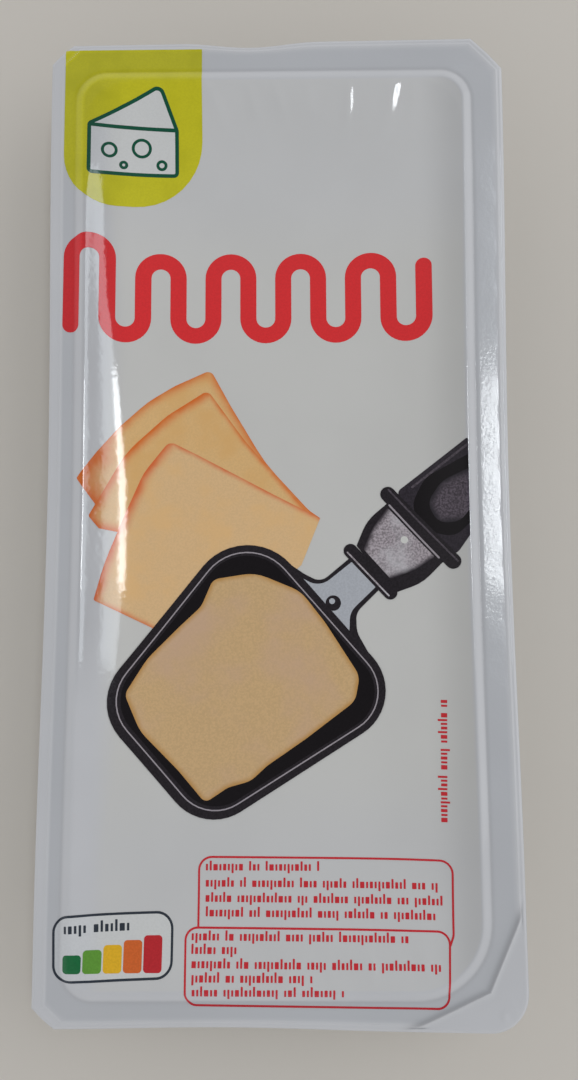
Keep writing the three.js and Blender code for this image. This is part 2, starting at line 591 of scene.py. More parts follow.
    def corner_height(self, x: float, y: float) -> float:
        """The cut corners' slight curl and the bottom end's droop.

        Args:
            x: Across the flat pack.
            y: Along the flat pack.

        Returns:
            The height that they add.
        """
        index = self.flange.corner_index(x, y)
        across, along = self.flange.sides(x, y)
        droop = self.droop_slope * max(0.0, self.droop_line - y)
        if index == PEEL_CORNER:
            return -droop
        cut = self.flange.corners[index]
        share = clamp(1 - cut.line_depth(across, along) / self.curl_reach)
        return self.corner_curl * share**2 * hump(across - along, cut.size * self.curl_spread) - droop

    def past_bend(self, x: float, y: float) -> float:
        """How far a point lies past the band's bend at the peel corner.

        Args:
            x: Across the flat pack.
            y: Along the flat pack.

        Returns:
            The distance, negative before the bend and endless away from that corner.
        """
        if self.band.corner_index(x, y) != PEEL_CORNER:
            return -math.inf
        return -self.band.corners[PEEL_CORNER].line_depth(*self.band.sides(x, y))

    def pocket_height(self, x: float, y: float) -> float:
        """The groove, the crest, the sunken middle, and the film's small waves and folds.

        Args:
            x: Across the flat pack.
            y: Along the flat pack.

        Returns:
            The height that they add.
        """
        pocket_in = self.pocket.depth(x, y)
        across, along = self.pocket.sides(x, y)
        peel = self.pocket.corner_index(x, y) == PEEL_CORNER
        reach = self.peel_hollow_reach if peel else self.hollow_reach
        rounding = max(reach - abs(across - along), 0.0) ** 2 / (4 * reach)
        inside = min(across, along) - self.crest_inset - rounding
        groove = self.groove_drop * bell(pocket_in, self.groove_width)
        crest = self.crest_rise * ease(pocket_in / self.crest_inset)
        height = crest - groove - self.sunk.depth(inside, across - along, y)
        if inside <= 0:
            return height
        wave_x, wave_y = (2 * math.pi / length for length in self.swell_waves)
        waves = math.sin(wave_x * x + 1) * math.sin(wave_y * y)
        height += self.swell * waves * ease(inside / self.swell_reach)
        from_end = along - self.crest_inset
        start = ease(inside / self.fold_start)
        fade = start * (1 - ease(from_end / self.gather_reach))
        if fade > 0:
            phase = 2 * math.pi * (x + self.gather_slant * from_end) / self.gather_pitch
            uneven = 1 - self.gather_uneven + self.gather_uneven * math.sin(phase / self.gather_beat)
            height += self.gather_rise * math.sin(phase) * uneven * fade
            height += sum(fold.height(x, y) for fold in self.folds) * start
        return height

    def weld(self, x: float, y: float) -> float:
        """How much a point lies in the pressed weld band, 0 to 1."""
        inner = 1 - ease((self.pocket.depth(x, y) + self.weld_end) / self.weld_fade)
        return ease(self.band.depth(x, y) / self.weld_edge) * inner

    def crease(self, x: float, y: float) -> float:
        """The ridge where the peel tab bends away, which rises softly and falls off sharply.

        Args:
            x: Across the flat pack.
            y: Along the flat pack.

        Returns:
            Its share of the full height, 0 to 1.
        """
        past = self.past_bend(x, y)
        ridge = bell(past, self.crease_lead if past < 0 else self.crease_fall)
        return ridge * ease(self.flange.depth(x, y) / self.crease_fade)

    def shadow(self, x: float, y: float) -> float:
        """How much less light a point gets inside the crest, in the groove and behind the tab's ridge.

        Args:
            x: Across the flat pack.
            y: Along the flat pack.

        Returns:
            The shadow, 0 to 1.
        """
        pocket_in = self.pocket.depth(x, y)
        inside = self.pocket.sides(x, y)[0] - self.crest_inset
        start = ease((pocket_in - self.crest_inset) / self.shadow_start + 0.5)
        side = self.side_shadow * (1 - ease(inside / self.shadow_reach)) * start
        if x < 0:
            side *= ease((y - self.shadow_end) / self.shadow_run)
        groove = self.groove_shadow * bell(pocket_in, self.groove_width)
        past = self.past_bend(x, y)
        behind = self.tab_shadow * bell(min(past, 0.0), self.tab_shadow_width)
        behind *= 1 - ease(past / self.crease_fall)
        return max(side, groove, behind * ease(self.flange.depth(x, y) / self.crease_fade))

    def bluish_light(self, x: float, y: float) -> float:
        """How bluish the light on a point is: most outside the crest and along the left side.

        Args:
            x: Across the flat pack.
            y: Along the flat pack.

        Returns:
            The tint, 0 to 1.
        """
        outside = 1 - ease((self.pocket.depth(x, y) - self.crest_inset) / self.bluish_light_edge)
        ends = self.bluish_light_ends * ease((abs(y) - self.bluish_light_start) / self.bluish_light_run)
        from_left = x - self.pocket.centre[0] + self.pocket.half_x - self.crest_inset
        left = 1 - ease((from_left - self.bluish_light_left) / (2 * self.bluish_light_left))
        return max(outside, left, ends)

    def height(self, x: float, y: float, with_tab: bool = True) -> float:
        """The film's height at a flat point.

        Args:
            x: Across the flat pack.
            y: Along the flat pack.
            with_tab: Whether the peel tab is lifted or lies flat.

        Returns:
            The height above the level that the pack lies on.
        """
        ripple = self.weld_wave * math.sin(2 * math.pi * (y + self.weld_slant * x) / self.weld_pitch)
        height = self.level + self.lip_height(x, y) + self.corner_height(x, y) + self.pocket_height(x, y)
        height += ripple * self.weld(x, y)
        height += sum(fold.height(x, y) for fold in self.flange_folds)
        if not with_tab:
            return height
        height += self.crease_rise * self.crease(x, y)
        return height + self.tab_lift * ease(self.past_bend(x, y) / self.tab_reach)


def loft(loops: list[list[Vector]]) -> bmesh.types.BMesh:
    """Grow one skin from loop to loop. A last loop that has no width closes by itself.

    Args:
        loops: Loops of as many points each, in order.

    Returns:
        The skin, with its normals pointing out.
    """
    shape = bmesh.new()
    station = shape.verts.layers.int.new("station")
    bmesh.ops.create_circle(shape, segments=len(loops[0]), radius=1.0)
    for number, vert in enumerate(shape.verts):
        vert[station] = number
        vert.co = loops[0][number]
    edges = list(shape.edges)
    for loop in loops[1:]:
        grown = bmesh.ops.extrude_edge_only(shape, edges=edges)["geom"]
        fresh = {part for part in grown if isinstance(part, bmesh.types.BMVert)}
        edges = [part for part in grown
                 if isinstance(part, bmesh.types.BMEdge) and all(vert in fresh for vert in part.verts)]
        for vert in fresh:
            vert.co = loop[vert[station]]
    bmesh.ops.remove_doubles(shape, verts=shape.verts, dist=0.001)
    bmesh.ops.recalc_face_normals(shape, faces=shape.faces)
    return shape


def sharpen(shape: bmesh.types.BMesh, angle: float = 0.6) -> None:
    """Shade a shape smooth, with a crease wherever it turns sharply.

    Args:
        shape: The shape.
        angle: The least turn that makes a crease, in radians.
    """
    for face in shape.faces:
        face.smooth = True
    for edge in shape.edges:
        edge.smooth = len(edge.link_faces) == 2 and edge.calc_face_angle(0.0) < angle


def finish_piece(name: str, shape: bmesh.types.BMesh, material: bpy.types.Material) -> bpy.types.Object:
    """Turn a shape in millimetres into an object in metres that rides on the pack.

    Args:
        name: The piece's name.
        shape: Its shape, which is freed.
        material: Its finish.

    Returns:
        The object, at the origin.
    """
    bmesh.ops.transform(shape, matrix=Matrix.Scale(MM, 4), verts=shape.verts)
    mesh = bpy.data.meshes.new(name)
    shape.to_mesh(mesh)
    shape.free()
    mesh.materials.append(material)
    piece = bpy.data.objects.new(name, mesh)
    bpy.context.scene.collection.objects.link(piece)
    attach(piece, BODY)
    return piece


def shade_by(mesh: bpy.types.Mesh, normal_at: Callable[[float, float], Vector]) -> None:
    """Give the top faces of a mesh exact normals, so that reflections run on from piece to piece.

    Args:
        mesh: The finished mesh, in metres.
        normal_at: The normal at a place in millimetres.
    """
    normals: dict[int, Vector] = {}
    custom = [Vector((0, 0, 0))] * len(mesh.loops)
    for face in mesh.polygons:
        if face.normal.z < 0.5:
            continue
        for loop in face.loop_indices:
            vert = mesh.loops[loop].vertex_index
            if vert not in normals:
                place = mesh.vertices[vert].co
                normals[vert] = normal_at(place.x / MM, place.y / MM)
            custom[loop] = normals[vert]
    mesh.normals_split_custom_set(custom)


def add_attributes(mesh: bpy.types.Mesh, names: tuple[str, ...],
                   values_at: Callable[[float, float], tuple[float, ...]]) -> None:
    """Store values at every vertex of a mesh, worked out from its place in millimetres.

    Args:
        mesh: The finished mesh, in metres.
        names: The attributes' names.
        values_at: Their values at a place.
    """
    for name in names:
        mesh.attributes.new(name, "FLOAT", "POINT")
    stores = [mesh.attributes[name].data for name in names]
    for vert in mesh.vertices:
        for store, value in zip(stores, values_at(vert.co.x / MM, vert.co.y / MM)):
            store[vert.index].value = value


class Recipe:
    """The nodes of one material, built one after another."""

    def __init__(self, name: str) -> None:
        """Start a material with a Principled shader.

        Args:
            name: The material's name.
        """
        self.material = bpy.data.materials.new(name)
        self.material.use_nodes = True
        self.tree = self.material.node_tree
        self.shader = self.tree.nodes["Principled BSDF"]
        self.place = self.node("ShaderNodeTexCoord").outputs["Object"]

    def node(self, kind: str, **settings: object) -> bpy.types.Node:
        """Add a node.

        Args:
            kind: The node's type.
            settings: Its settings, by name.

        Returns:
            The node.
        """
        made = self.tree.nodes.new(kind)
        for name, value in settings.items():
            setattr(made, name, value)
        return made

    def link(self, source: bpy.types.NodeSocket, node: bpy.types.Node, socket: str | int) -> None:
        """Join an output to a node's input."""
        self.tree.links.new(source, node.inputs[socket])

    def noise(self, size: float, detail: float = 2.0, stretch: Place = (1, 1, 1)) -> bpy.types.NodeSocket:
        """Noise whose patches are about a size across.

        Args:
            size: Patch size in millimetres.
            detail: Octaves of finer noise.
            stretch: How much the pattern is squeezed along each axis.

        Returns:
            The noise's value, about 0.5 on average.
        """
        mapping = self.node("ShaderNodeMapping")
        mapping.inputs["Scale"].default_value = stretch
        self.link(self.place, mapping, "Vector")
        noise = self.node("ShaderNodeTexNoise")
        noise.inputs["Scale"].default_value = 1 / (size * MM)
        noise.inputs["Detail"].default_value = detail
        self.link(mapping.outputs["Vector"], noise, "Vector")
        return noise.outputs["Fac"]

    def math(self, operation: str, first: bpy.types.NodeSocket | float,
             second: bpy.types.NodeSocket | float) -> bpy.types.NodeSocket:
        """Combine two values.

        Args:
            operation: The sum, by its name in the node.
            first: The first value or output.
            second: The second one.

        Returns:
            The result.
        """
        made = self.node("ShaderNodeMath", operation=operation)
        for socket, value in enumerate((first, second)):
            if isinstance(value, bpy.types.NodeSocket):
                self.link(value, made, socket)
            else:
                made.inputs[socket].default_value = value
        return made.outputs[0]

    def attribute(self, name: str) -> bpy.types.NodeSocket:
        """A value stored at the vertices."""
        return self.node("ShaderNodeAttribute", attribute_name=name).outputs["Fac"]

    def spread(self, value: bpy.types.NodeSocket, low: float, high: float,
               to_low: float = 0.0, to_high: float = 1.0) -> bpy.types.NodeSocket:
        """Map a value from one range to another, smoothly and within its limits.

        Args:
            value: The value to map.
            low: Where the first range starts.
            high: Where it ends.
            to_low: Where the second range starts.
            to_high: Where it ends.

        Returns:
            The mapped value.
        """
        made = self.node("ShaderNodeMapRange", interpolation_type="SMOOTHSTEP")
        for socket, number in zip(("From Min", "From Max", "To Min", "To Max"), (low, high, to_low, to_high)):
            made.inputs[socket].default_value = number
        self.link(value, made, "Value")
        return made.outputs["Result"]

    def mix(self, share: bpy.types.NodeSocket, first: Colour | bpy.types.NodeSocket,
            second: Colour | bpy.types.NodeSocket) -> bpy.types.NodeSocket:
        """Mix two colours.

        Args:
            share: How much of the second colour shows.
            first: The first colour or output.
            second: The second one.

        Returns:
            The mixed colour.
        """
        made = self.node("ShaderNodeMix", data_type="RGBA")
        self.link(share, made, 0)
        for socket, colour in ((6, first), (7, second)):
            if isinstance(colour, bpy.types.NodeSocket):
                self.link(colour, made, socket)
            else:
                made.inputs[socket].default_value = (*colour, 1)
        return made.outputs[2]

    def shade(self, share: bpy.types.NodeSocket, colour: bpy.types.NodeSocket,
              shade: Colour) -> bpy.types.NodeSocket:
        """Multiply a colour by a shade.

        Args:
            share: How far the shade applies.
            colour: The colour.
            shade: The shade.

        Returns:
            The shaded colour.
        """
        made = self.node("ShaderNodeMix", data_type="RGBA", blend_type="MULTIPLY")
        self.link(share, made, 0)
        self.link(colour, made, 6)
        made.inputs[7].default_value = (*shade, 1)
        return made.outputs[2]

    def bump(self, height: bpy.types.NodeSocket, depth: float,
             under: bpy.types.NodeSocket | None = None) -> bpy.types.NodeSocket:
        """A fine relief in the surface's shading.

        Args:
            height: The pattern.
            depth: Its depth in millimetres.
            under: The relief that it lies on, where there is one.

        Returns:
            The surface normal.
        """
        made = self.node("ShaderNodeBump")
        made.inputs["Distance"].default_value = depth * MM
        self.link(height, made, "Height")
        if under is not None:
            self.link(under, made, "Normal")
        return made.outputs["Normal"]

    def done(self, colour: bpy.types.NodeSocket, normal: bpy.types.NodeSocket,
             roughness: bpy.types.NodeSocket | float, specular: float = 0.5) -> bpy.types.Material:
        """Join everything to the shader.

        Args:
            colour: Base colour.
            normal: Surface normal.
            roughness: Roughness, the same all over or from a node.
            specular: Specular level all over.

        Returns:
            The material.
        """
        self.link(colour, self.shader, "Base Color")
        self.link(normal, self.shader, "Normal")
        if isinstance(roughness, bpy.types.NodeSocket):
            self.link(roughness, self.shader, "Roughness")
        else:
            self.shader.inputs["Roughness"].default_value = roughness
        self.shader.inputs["Specular IOR Level"].default_value = specular
        return self.material


def tinted(colour: Colour, factor: float) -> Colour:
    """A colour made lighter or darker."""
    return tuple(clamp(part * factor) for part in colour)


@dataclass(frozen=True)
class GlossFilm:
    """The film's white face: glossy, faintly uneven, finely speckled where the weld was pressed."""

    name: str
    colour: Colour
    roughness: float = 0.06
    pressed_roughness: float = 0.1
    mottling: float = 0.03
    mottling_size: float = 26.0
    speckle: float = 0.012
    speckle_size: float = 0.7
    peel: float = 0.009
    peel_size: float = 1.2
    ripple: float = 0.006
    ripple_size: float = 11.0
    pressed_shade: Colour = (0.86, 0.87, 0.88)
    # Painted shade and painted bluish light, multiplied into the colours of the film and its inks
    shadow_shade: Colour = (0.5, 0.5, 0.51)
    bluish_light_shade: Colour = (0.95, 0.965, 1.035)

    def finished(self, recipe: Recipe, colour: bpy.types.NodeSocket) -> bpy.types.Material:
        """The colour with the film's gloss over it, darker and duller where the weld was pressed.

        Args:
            recipe: The material's nodes so far.
            colour: The colour before it is shaded.

        Returns:
            The material.
        """
        weld = recipe.attribute("weld")
        roughness = recipe.spread(weld, 0, 1, self.roughness, self.pressed_roughness)
        colour = recipe.shade(weld, colour, self.pressed_shade)
        # Painted shadow inside the crest, in the groove and behind the peel tab's ridge
        colour = recipe.shade(recipe.attribute("shadow"), colour, self.shadow_shade)
        # Painted bluish light outside the crest, along the left side and towards the ends
        colour = recipe.shade(recipe.attribute("bluish_light"), colour, self.bluish_light_shade)
        return recipe.done(colour, self.normal(recipe), roughness)

    def normal(self, recipe: Recipe) -> bpy.types.NodeSocket:
        """The film's fine unevenness, with the weld's pressed speckle.

        Args:
            recipe: The material's nodes so far.

        Returns:
            The surface normal.
        """
        waves = recipe.bump(recipe.noise(self.ripple_size, 2.0), self.ripple)
        fine = recipe.bump(recipe.noise(self.peel_size, 1.0), self.peel, waves)
        pressed = recipe.math("MULTIPLY", recipe.noise(self.speckle_size, 1.0), recipe.attribute("weld"))
        return recipe.bump(pressed, self.speckle, fine)

    def material(self) -> bpy.types.Material:
        """The film's material."""
        recipe = Recipe(self.name)
        share = recipe.spread(recipe.noise(self.mottling_size, 3.0), 0.3, 0.7)
        colour = recipe.mix(share, tinted(self.colour, 1 - self.mottling), self.colour)
        return self.finished(recipe, colour)


@dataclass(frozen=True)
class Ink(GlossFilm):
    """A printed colour under the film's gloss. The edge colour spreads in from chosen sides of a field."""

    edge: Colour | None = None
    patch: Colour | None = None
    patch_size: float = 9.0
    patch_range: Point = (0.42, 0.72)
    patch_share: float = 0.75
    edge_wander: float = 4.0
    edge_range: Point = (0.1, 0.75)
    grain: float = 0.1
    grain_size: float = 0.5

    def material(self) -> bpy.types.Material:
        """The ink's material."""
        recipe = Recipe(self.name)
        share = recipe.spread(recipe.noise(self.grain_size, 2.0), 0.35, 0.65)
        colour = recipe.mix(share, tinted(self.colour, 1 - self.grain), self.colour)
        if self.patch is not None:
            patches = recipe.spread(recipe.noise(self.patch_size, 3.0), *self.patch_range, 0.0,
                                    self.patch_share)
            colour = recipe.mix(patches, colour, self.patch)
        if self.edge is not None:
            wander = recipe.math("MULTIPLY_ADD", recipe.noise(self.edge_wander, 3.0), 0.5)
            rim = recipe.math("MULTIPLY", recipe.attribute("rim"), wander)
            colour = recipe.mix(recipe.spread(rim, *self.edge_range), colour, self.edge)
        return self.finished(recipe, colour)


@dataclass(frozen=True)
class TrayPlastic:
    """Opaque white thermoformed sheet with a soft sheen."""

    name: str = "tray_sheet"
    colour: Colour = linear(214, 216, 216)
    roughness: float = 0.3
    mottling: float = 0.06
    mottling_size: float = 30.0
    drawn_depth: float = 0.05
    drawn_size: float = 14.0
    grain_depth: float = 0.004
    grain_size: float = 1.1

    def material(self) -> bpy.types.Material:
        """The tray's material, with the soft upright marks of a drawn wall."""
        recipe = Recipe(self.name)
        share = recipe.spread(recipe.noise(self.mottling_size, 3.0, (1, 1, 2.5)), 0.3, 0.7)
        colour = recipe.mix(share, tinted(self.colour, 1 - self.mottling), self.colour)
        drawn = recipe.bump(recipe.noise(self.drawn_size, 2.0, (1, 1, 0.3)), self.drawn_depth)
        fine = recipe.bump(recipe.noise(self.grain_size, 2.0), self.grain_depth, drawn)
        return recipe.done(colour, fine, self.roughness)


@dataclass
class LiddingFilm:
    """The film over the whole flange and pocket."""

    relief: Relief
    warp: Warp
    thickness: float = 0.25
    edge_rings: tuple[float, ...] = (0.0, 0.2, 0.45, 0.8)
    bead_rings: tuple[float, ...] = (-0.8, -0.55, -0.35, -0.15, 0.1, 0.4)
    lip_steps: int = 7
    weld_steps: int = 5
    pocket_start: float = -1.2
    ring_step: float = 0.3
    even_rings: float = 3.0
    growth: float = 1.12
    wave_step: float = 0.8
    wave_reach: float = 24.0
    middle_step: float = 4.0
    coarse_every: int = 3
    probe: float = 0.02

    def surface(self, x: float, y: float) -> float:
        """The height of the film at a place on the warped pack."""
        return self.relief.height(*self.warp.unplace(x, y))

    def normal(self, x: float, y: float) -> Vector:
        """The film's normal at a place on the warped pack.

        Args:
            x: Across the warped pack.
            y: Along the warped pack.

        Returns:
            The normal.
        """
        here = self.surface(x, y)
        slope_x = (self.surface(x + self.probe, y) - here) / self.probe
        slope_y = (self.surface(x, y + self.probe) - here) / self.probe
        return Vector((-slope_x, -slope_y, 1)).normalized()

    def tones(self, x: float, y: float) -> tuple[float, float, float]:
        """How pressed the film is at a place on the warped pack, and its painted shadow and painted bluish
        light there.
        """
        flat = self.warp.unplace(x, y)
        return self.relief.weld(*flat), self.relief.shadow(*flat), self.relief.bluish_light(*flat)

    def rings(self) -> list[list[Point]]:
        """Flat rings from the cut edge to the middle, close together where the relief is busy.

        Returns:
            The rings, the outermost first.
        """
        relief = self.relief
        rings = [relief.flange.ring(inset) for inset in self.edge_rings]
        rings += self.blended(rings[-1], relief.band.ring(self.bead_rings[0]), self.lip_steps)
        rings += [relief.band.ring(inset) for inset in self.bead_rings]
        inset = self.pocket_start
        rings += self.blended(rings[-1], relief.pocket.ring(inset), self.weld_steps)
        step = self.ring_step
        while inset < relief.pocket.half_x:
            rings.append(relief.pocket.ring(inset))
            if inset > self.even_rings:
                widest = self.wave_step if inset < self.wave_reach else self.middle_step
                step = min(step * self.growth, widest)
            inset += step
        rings.append(relief.pocket.ring(relief.pocket.half_x))
        return rings

    def coarse_rings(self) -> list[list[Point]]:
        """Fewer of the rings, for what lies under the film's top side."""
        rings = self.rings()
        return rings[:-1][::self.coarse_every] + rings[-1:]

    @staticmethod
    def blended(first: list[Point], last: list[Point], count: int) -> list[list[Point]]:
        """Rings evenly spaced between two, without either of them."""
        shares = [step / (count + 1) for step in range(1, count + 1)]
        return [[between(a, b, share) for a, b in zip(first, last)] for share in shares]

    def laid(self, rings: list[list[Point]], lowered: float, with_tab: bool = True) -> list[list[Vector]]:
        """Flat rings laid on the relief, lowered by a distance."""
        return [[Vector((*self.warp.place(x, y), self.relief.height(x, y, with_tab) - lowered))
                 for x, y in ring] for ring in rings]

    def build(self, finish: GlossFilm) -> bpy.types.Object:
        """Make the film: its underside from the middle out, then its top side back in.

        Args:
            finish: Its finish.

        Returns:
            The film.
        """
        underside = self.laid(self.coarse_rings(), self.thickness)
        shape = loft(underside[::-1] + self.laid(self.rings(), 0.0))
        sharpen(shape)
        piece = finish_piece("lidding_film", shape, finish.material())
        shade_by(piece.data, self.normal)
        add_attributes(piece.data, TONES, self.tones)
        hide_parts(FILM_NODE)
        return piece


@dataclass
class TrayShell:
    """The tray: flange, drafted walls, rounded foot and raised base panel."""

    film: LiddingFilm
    gap: float = 0.03
    flange_thickness: float = 0.6
    wall_inset: float = 2.0
    wall_draft: float = math.radians(6)
    wall_fillet: float = 1.4
    foot_radius: float = 3.0
    foot_width: float = 3.5
    panel_raise: float = 0.8
    panel_slope: float = 1.6
    wall_start: float = -0.8
    arc_steps: int = 6
    wall_steps: int = 6
    panel_steps: int = 4

    def profile(self) -> list[Point]:
        """The tray's section, from the middle of its base up to under the flange.

        Returns:
            Points, each an inset from the pocket's outline and a height.
        """
        film_level = self.film.relief.level - self.film.thickness - self.gap
        under = film_level - self.flange_thickness
        wall_top = under - self.wall_fillet
        draft = math.tan(self.wall_draft)
        middle = self.film.relief.pocket.half_x
        foot_in = self.wall_inset + wall_top * draft + self.foot_radius
        slope_in = foot_in + self.foot_width
        arc = [step / self.arc_steps for step in range(self.arc_steps + 1)]
        panel = [(middle + (slope_in + self.panel_slope - middle) * step / self.panel_steps, self.panel_raise)
                 for step in range(self.panel_steps)]
        slope = [(slope_in + self.panel_slope * (1 - share), self.panel_raise * (1 - ease(share)))
                 for share in arc]
        turn = math.pi / 2 - self.wall_draft
        foot = [(foot_in - self.foot_radius * math.sin(turn * share),
                 self.foot_radius * (1 - math.cos(turn * share))) for share in arc]
        wall = [between(foot[-1], (self.wall_inset, wall_top), step / self.wall_steps)
                for step in range(1, self.wall_steps + 1)]
        fillet = [(self.wall_inset - self.wall_fillet * (1 - math.cos(share * math.pi / 2)),
                   wall_top + self.wall_fillet * math.sin(share * math.pi / 2)) for share in arc[1:]]
        return panel + slope + foot + wall + fillet

    def build(self, finish: TrayPlastic) -> bpy.types.Object:
        """Make the tray as one closed body, filled up to just under the film.

        Args:
            finish: Its finish.

        Returns:
            The tray.
        """
        film = self.film
        lowered = film.thickness + self.gap
        loops = [[Vector((*film.warp.place(x, y), height)) for x, y in film.relief.pocket.ring(inset)]
                 for inset, height in self.profile()]
        rings = film.coarse_rings()
        outside = [ring for ring in rings
                   if film.relief.pocket.depth(*ring[LONG_SIDE_STEPS // 2]) < self.wall_start]
        loops += film.laid(outside, lowered + self.flange_thickness, with_tab=False)[::-1]
        shape = loft(loops + film.laid(rings, lowered, with_tab=False))
        sharpen(shape)
        piece = finish_piece("thermoformed_tray", shape, finish.material())
        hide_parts(TRAY_NODE)
        return piece


@dataclass(frozen=True)
class Shape:
    """A flat figure: corners as x, y and radius, joined by straight lines."""

    corners: tuple[tuple[float, float, float], ...]
    turn_step: float = math.radians(9)
    small: float = 0.4
    small_turn_step: float = math.radians(40)
    room_share: float = 0.499
    least_reach: float = 0.01

    def outline(self) -> list[Point]:
        """The figure's outline, with its corners rounded.

        Returns:
            The points, in order.
        """
        points: list[Point] = []
        count = len(self.corners)
        for index, (x, y, radius) in enumerate(self.corners):
            corner = Vector((x, y))
            before = Vector(self.corners[index - 1][:2]) - corner
            after = Vector(self.corners[(index + 1) % count][:2]) - corner
            points += self.arc(corner, before, after, radius)
        return points

    def arc(self, corner: Vector, before: Vector, after: Vector, radius: float) -> list[Point]:
        """The points round one corner.

        Args:
            corner: The sharp corner.
            before: From the corner to the one before it.
            after: From the corner to the next one.
            radius: The radius asked for, which shrinks where a side is short.

        Returns:
            The points, in order.
        """
        half = before.angle(after) / 2
        room = min(before.length, after.length) * self.room_share
        reach = min(radius / math.tan(half), room)
        if reach < self.least_reach:
            return [tuple(corner)]
        start, end = before.normalized() * reach, after.normalized() * reach
        radius = reach * math.tan(half)
        centre = (start + end).normalized() * radius / math.sin(half)
        turn = math.pi - 2 * half
        steps = max(2, math.ceil(turn / (self.small_turn_step if radius < self.small else self.turn_step)))
        arms = [((start - centre) * math.sin(turn * (1 - step / steps))
                 + (end - centre) * math.sin(turn * step / steps)) / math.sin(turn)
                for step in range(steps + 1)]
        return [tuple(corner + centre + arm) for arm in arms]

    def distance(self, x: float, y: float, sides: tuple[int, ...]) -> float:
        """How far a point lies from the chosen sides.

        Args:
            x: Across the pack.
            y: Along the pack.
            sides: The sides, each named by the corner that it starts at.

        Returns:
            The distance to the nearest of them.
        """
        point = Vector((x, y))
        best = math.inf
        for side in sides:
            start = Vector(self.corners[side][:2])
            run = Vector(self.corners[(side + 1) % len(self.corners)][:2]) - start
            share = clamp((point - start).dot(run) / run.length_squared)
            best = min(best, (point - start - run * share).length)
        return best


def disc(x: float, y: float, radius: float) -> Shape:
    """A round figure."""
    return Shape(tuple((x + sx * radius, y + sy * radius, radius) for sx, sy in CORNER_SIGNS))


def plate(left: float, bottom: float, right: float, top: float, radius: float) -> Shape:
    """An upright rectangle with round corners."""
    return Shape(((right, bottom, radius), (right, top, radius), (left, top, radius), (left, bottom, radius)))


def ribbon(path: list[Point], width: float, bend: float = 0.0, tip: float | None = None) -> Shape:
    """A band along a path of straight stretches.

    Args:
        path: The middle of the band.
        width: The band's width.
        bend: Radius of the path's bends.
        tip: Radius of the corners at both ends, or none for round ends.

    Returns:
        The figure.
    """
    half = width / 2
    tip = half if tip is None else tip
    places = [Vector(place) for place in path]
    runs = [(after - before).normalized() for before, after in zip(places, places[1:])]
    left, right = [], []
    for index, place in enumerate(places):
        arriving, leaving = runs[max(index - 1, 0)], runs[min(index, len(runs) - 1)]
        side = Vector((-arriving.y - leaving.y, arriving.x + leaving.x)).normalized()
        side *= half / side.dot(Vector((-arriving.y, arriving.x)))
        turn = arriving.cross(leaving)
        inner, outer = (tip, tip) if index in (0, len(runs)) else (bend - half, bend + half)
        left_radius, right_radius = (inner, outer) if turn > 0 else (outer, inner)
        left.append((place.x + side.x, place.y + side.y, left_radius))
        right.append((place.x - side.x, place.y - side.y, right_radius))
    return Shape(tuple(right + left[::-1]))


